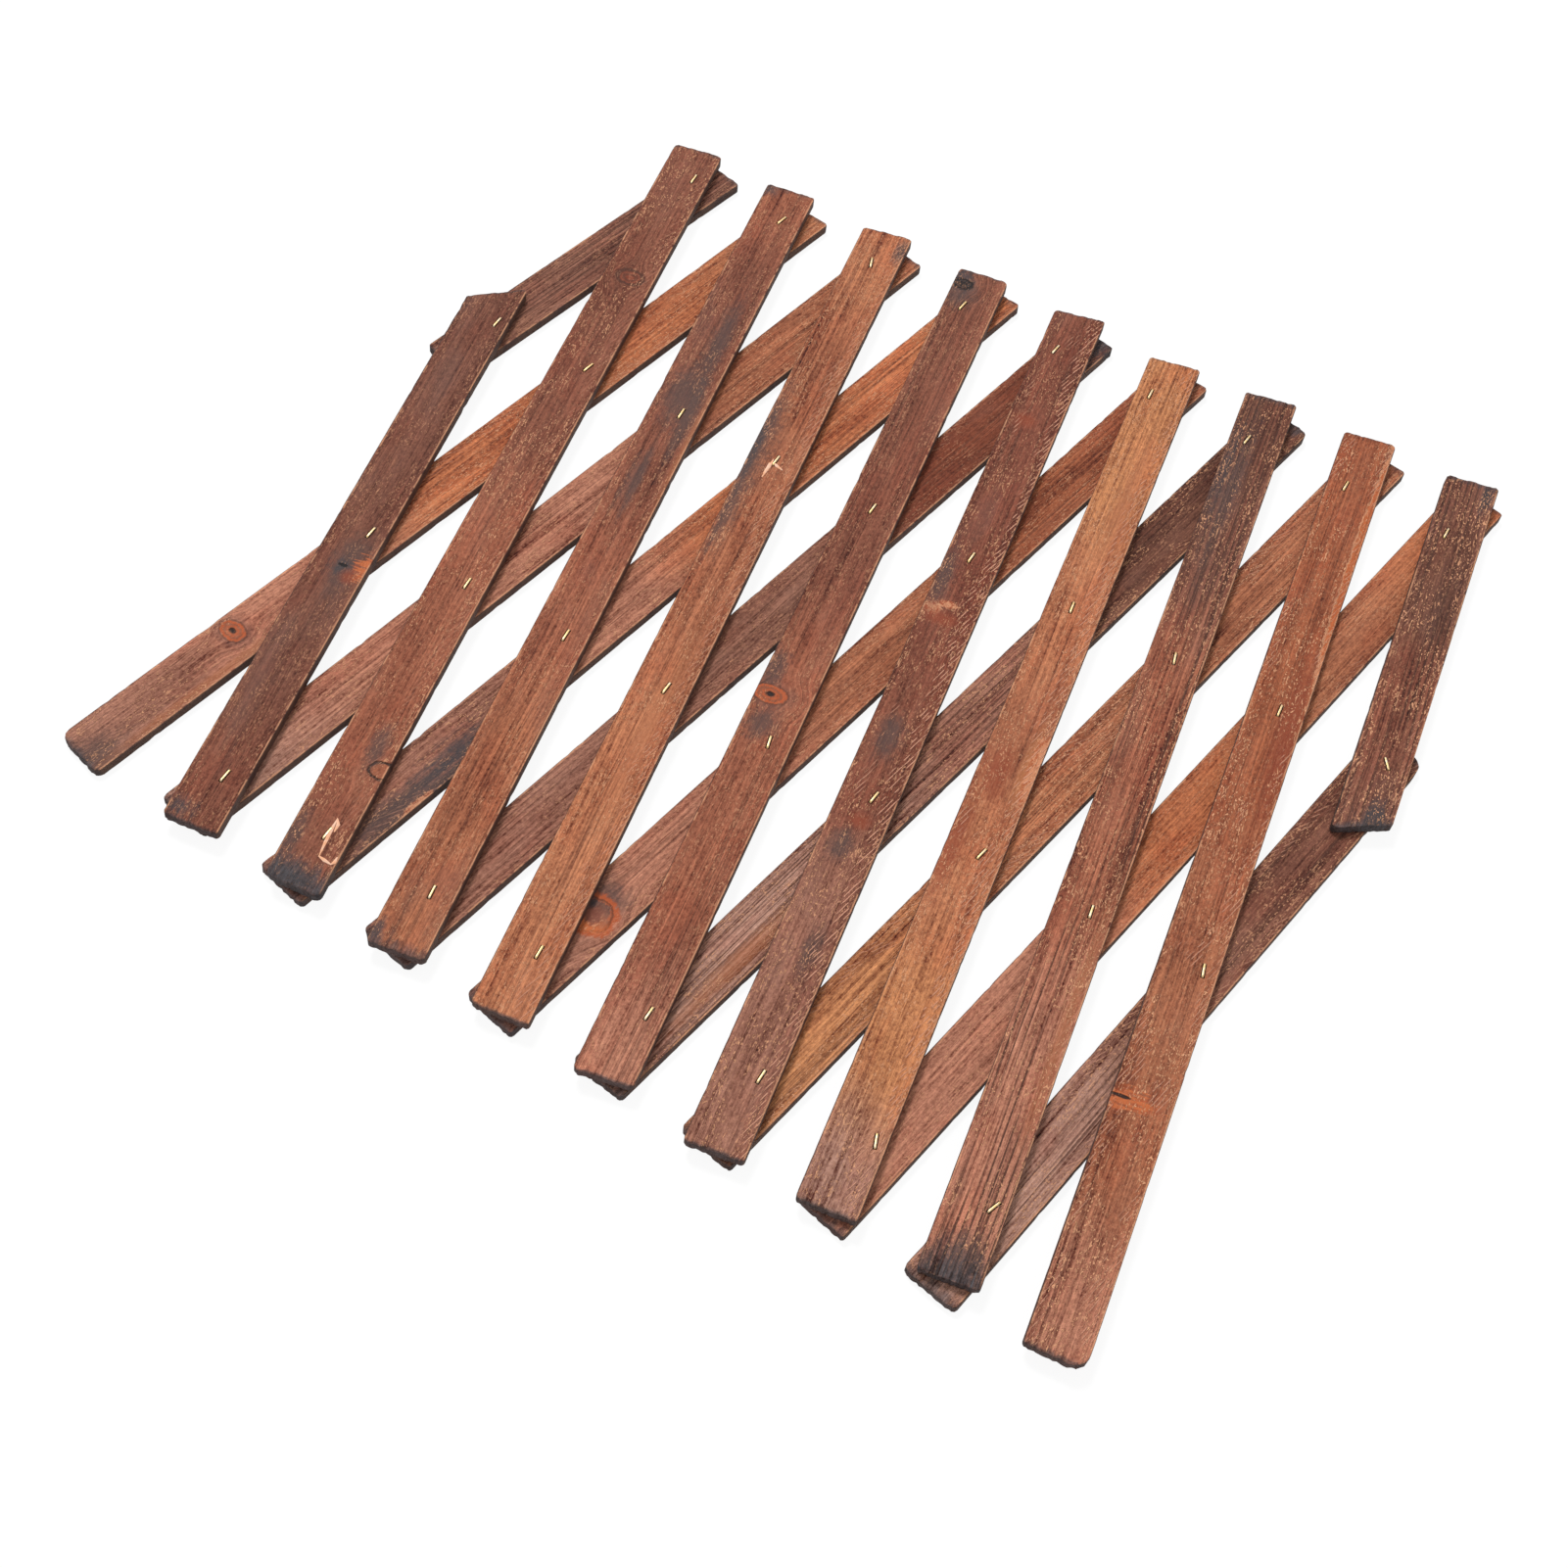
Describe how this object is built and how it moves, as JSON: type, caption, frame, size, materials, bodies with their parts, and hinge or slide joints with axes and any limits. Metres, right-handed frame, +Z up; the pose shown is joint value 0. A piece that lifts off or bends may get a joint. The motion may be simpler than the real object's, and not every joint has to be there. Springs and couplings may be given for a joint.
{
  "type": "expandable wooden trellis",
  "caption": "Folding lattice of flat stained wooden slats in two layers, stapled where they cross, that opens like lazy tongs to carry climbing plants.",
  "frame": {"origin": "middle of the bounding box, on the plane that the back slats lie on, in the pose of the picture", "axes": "+X along the trellis, the way it opens; +Y across it, towards the far ends of the slats; +Z up, out of the front slats' faces"},
  "size_m": [0.4946, 0.4948, 0.0107],
  "materials": {
    "front_slat_01": "thin red-brown stain over sawn softwood, matt",
    "front_slat_02": "thin red-brown stain over sawn softwood, matt",
    "front_slat_03": "thin red-brown stain over sawn softwood, matt",
    "front_slat_04": "thin red-brown stain over sawn softwood, matt",
    "front_slat_05": "thin red-brown stain over sawn softwood, matt",
    "front_slat_06": "thin red-brown stain over sawn softwood, matt",
    "front_slat_07": "thin red-brown stain over sawn softwood, matt",
    "front_slat_08": "thin red-brown stain over sawn softwood, matt",
    "front_slat_09": "thin red-brown stain over sawn softwood, matt",
    "front_slat_10": "thin red-brown stain over sawn softwood, matt",
    "back_slat_01": "thin red-brown stain over sawn softwood, matt",
    "back_slat_02": "thin red-brown stain over sawn softwood, matt",
    "back_slat_03": "thin red-brown stain over sawn softwood, matt",
    "back_slat_04": "thin red-brown stain over sawn softwood, matt",
    "back_slat_05": "thin red-brown stain over sawn softwood, matt",
    "back_slat_06": "thin red-brown stain over sawn softwood, matt",
    "back_slat_07": "thin red-brown stain over sawn softwood, matt",
    "back_slat_08": "thin red-brown stain over sawn softwood, matt",
    "back_slat_09": "thin red-brown stain over sawn softwood, matt",
    "back_slat_10": "thin red-brown stain over sawn softwood, matt",
    "staple_wire": "bright drawn wire with a thin brass-coloured coat"
  },
  "bodies": {
    "front_slat_01": {"front_slat_01": "front_slat_01", "staple_front_01_back_01": "staple_wire", "staple_front_01_back_02": "staple_wire", "staple_front_01_back_03": "staple_wire"},
    "front_slat_02": {"front_slat_02": "front_slat_02", "staple_front_02_back_01": "staple_wire", "staple_front_02_back_02": "staple_wire", "staple_front_02_back_03": "staple_wire", "staple_front_02_back_04": "staple_wire"},
    "front_slat_03": {"front_slat_03": "front_slat_03", "staple_front_03_back_02": "staple_wire", "staple_front_03_back_03": "staple_wire", "staple_front_03_back_04": "staple_wire", "staple_front_03_back_05": "staple_wire"},
    "front_slat_04": {"front_slat_04": "front_slat_04", "staple_front_04_back_03": "staple_wire", "staple_front_04_back_04": "staple_wire", "staple_front_04_back_05": "staple_wire", "staple_front_04_back_06": "staple_wire"},
    "front_slat_05": {"front_slat_05": "front_slat_05", "staple_front_05_back_04": "staple_wire", "staple_front_05_back_05": "staple_wire", "staple_front_05_back_06": "staple_wire", "staple_front_05_back_07": "staple_wire"},
    "front_slat_06": {"front_slat_06": "front_slat_06", "staple_front_06_back_05": "staple_wire", "staple_front_06_back_06": "staple_wire", "staple_front_06_back_07": "staple_wire", "staple_front_06_back_08": "staple_wire"},
    "front_slat_07": {"front_slat_07": "front_slat_07", "staple_front_07_back_06": "staple_wire", "staple_front_07_back_07": "staple_wire", "staple_front_07_back_08": "staple_wire", "staple_front_07_back_09": "staple_wire"},
    "front_slat_08": {"front_slat_08": "front_slat_08", "staple_front_08_back_07": "staple_wire", "staple_front_08_back_08": "staple_wire", "staple_front_08_back_09": "staple_wire", "staple_front_08_back_10": "staple_wire"},
    "front_slat_09": {"front_slat_09": "front_slat_09", "staple_front_09_back_08": "staple_wire", "staple_front_09_back_09": "staple_wire", "staple_front_09_back_10": "staple_wire"},
    "front_slat_10": {"front_slat_10": "front_slat_10", "staple_front_10_back_09": "staple_wire", "staple_front_10_back_10": "staple_wire"},
    "back_slat_01": {"back_slat_01": "back_slat_01"},
    "back_slat_02": {"back_slat_02": "back_slat_02"},
    "back_slat_03": {"back_slat_03": "back_slat_03"},
    "back_slat_04": {"back_slat_04": "back_slat_04"},
    "back_slat_05": {"back_slat_05": "back_slat_05"},
    "back_slat_06": {"back_slat_06": "back_slat_06"},
    "back_slat_07": {"back_slat_07": "back_slat_07"},
    "back_slat_08": {"back_slat_08": "back_slat_08"},
    "back_slat_09": {"back_slat_09": "back_slat_09"},
    "back_slat_10": {"back_slat_10": "back_slat_10"}
  },
  "joints": [
    {"name": "hinge_back_slat_04", "type": "hinge", "parent": "front_slat_05", "child": "back_slat_04", "pos_m": [-0.04733, 0.20697, 0.00515], "axis": [0, 0, -1], "range_deg": [-8, 79]},
    {"name": "hinge_back_slat_05", "type": "hinge", "parent": "front_slat_05", "child": "back_slat_05", "pos_m": [-0.02182, 0.06932, 0.00515], "axis": [0, 0, -1], "range_deg": [-8, 79]},
    {"name": "hinge_back_slat_06", "type": "hinge", "parent": "front_slat_05", "child": "back_slat_06", "pos_m": [0.00369, -0.06834, 0.00515], "axis": [0, 0, -1], "range_deg": [-8, 79]},
    {"name": "fold", "type": "hinge", "parent": "front_slat_05", "child": "back_slat_07", "pos_m": [0.0292, -0.20599, 0.00515], "axis": [0, 0, -1], "range_deg": [-8, 79]},
    {"name": "hinge_front_slat_02", "type": "hinge", "parent": "back_slat_04", "child": "front_slat_02", "pos_m": [-0.12387, -0.20599, 0.00515], "axis": [0, 0, 1], "range_deg": [-8, 79]},
    {"name": "hinge_front_slat_03", "type": "hinge", "parent": "back_slat_04", "child": "front_slat_03", "pos_m": [-0.09836, -0.06834, 0.00515], "axis": [0, 0, 1], "range_deg": [-8, 79]},
    {"name": "hinge_front_slat_04", "type": "hinge", "parent": "back_slat_04", "child": "front_slat_04", "pos_m": [-0.07285, 0.06932, 0.00515], "axis": [0, 0, 1], "range_deg": [-8, 79]},
    {"name": "hinge_front_slat_06", "type": "hinge", "parent": "back_slat_07", "child": "front_slat_06", "pos_m": [0.05472, -0.06834, 0.00515], "axis": [0, 0, 1], "range_deg": [-8, 79]},
    {"name": "hinge_front_slat_07", "type": "hinge", "parent": "back_slat_07", "child": "front_slat_07", "pos_m": [0.08023, 0.06932, 0.00515], "axis": [0, 0, 1], "range_deg": [-8, 79]},
    {"name": "hinge_front_slat_08", "type": "hinge", "parent": "back_slat_07", "child": "front_slat_08", "pos_m": [0.10574, 0.20697, 0.00515], "axis": [0, 0, 1], "range_deg": [-8, 79]},
    {"name": "hinge_back_slat_01", "type": "hinge", "parent": "front_slat_02", "child": "back_slat_01", "pos_m": [-0.20041, 0.20697, 0.00515], "axis": [0, 0, -1], "range_deg": [-8, 79]},
    {"name": "hinge_back_slat_02", "type": "hinge", "parent": "front_slat_02", "child": "back_slat_02", "pos_m": [-0.1749, 0.06932, 0.00515], "axis": [0, 0, -1], "range_deg": [-8, 79]},
    {"name": "hinge_back_slat_03", "type": "hinge", "parent": "front_slat_02", "child": "back_slat_03", "pos_m": [-0.14939, -0.06834, 0.00515], "axis": [0, 0, -1], "range_deg": [-8, 79]},
    {"name": "hinge_back_slat_08", "type": "hinge", "parent": "front_slat_08", "child": "back_slat_08", "pos_m": [0.13126, 0.06932, 0.00515], "axis": [0, 0, -1], "range_deg": [-8, 79]},
    {"name": "hinge_back_slat_09", "type": "hinge", "parent": "front_slat_08", "child": "back_slat_09", "pos_m": [0.15677, -0.06834, 0.00515], "axis": [0, 0, -1], "range_deg": [-8, 79]},
    {"name": "hinge_back_slat_10", "type": "hinge", "parent": "front_slat_08", "child": "back_slat_10", "pos_m": [0.18228, -0.20599, 0.00515], "axis": [0, 0, -1], "range_deg": [-8, 79]},
    {"name": "hinge_front_slat_01", "type": "hinge", "parent": "back_slat_02", "child": "front_slat_01", "pos_m": [-0.20041, -0.06834, 0.00515], "axis": [0, 0, 1], "range_deg": [-8, 79]},
    {"name": "hinge_front_slat_09", "type": "hinge", "parent": "back_slat_09", "child": "front_slat_09", "pos_m": [0.18228, 0.06932, 0.00515], "axis": [0, 0, 1], "range_deg": [-8, 79]},
    {"name": "hinge_front_slat_10", "type": "hinge", "parent": "back_slat_09", "child": "front_slat_10", "pos_m": [0.2078, 0.20697, 0.00515], "axis": [0, 0, 1], "range_deg": [-8, 79]}
  ],
  "couplings": [
    {"joint": "hinge_back_slat_04", "follows": "fold", "ratio": 1},
    {"joint": "hinge_back_slat_05", "follows": "fold", "ratio": 1},
    {"joint": "hinge_back_slat_06", "follows": "fold", "ratio": 1},
    {"joint": "hinge_front_slat_02", "follows": "fold", "ratio": 1},
    {"joint": "hinge_front_slat_03", "follows": "fold", "ratio": 1},
    {"joint": "hinge_front_slat_04", "follows": "fold", "ratio": 1},
    {"joint": "hinge_front_slat_06", "follows": "fold", "ratio": 1},
    {"joint": "hinge_front_slat_07", "follows": "fold", "ratio": 1},
    {"joint": "hinge_front_slat_08", "follows": "fold", "ratio": 1},
    {"joint": "hinge_back_slat_01", "follows": "fold", "ratio": 1},
    {"joint": "hinge_back_slat_02", "follows": "fold", "ratio": 1},
    {"joint": "hinge_back_slat_03", "follows": "fold", "ratio": 1},
    {"joint": "hinge_back_slat_08", "follows": "fold", "ratio": 1},
    {"joint": "hinge_back_slat_09", "follows": "fold", "ratio": 1},
    {"joint": "hinge_back_slat_10", "follows": "fold", "ratio": 1},
    {"joint": "hinge_front_slat_01", "follows": "fold", "ratio": 1},
    {"joint": "hinge_front_slat_09", "follows": "fold", "ratio": 1},
    {"joint": "hinge_front_slat_10", "follows": "fold", "ratio": 1}
  ]
}
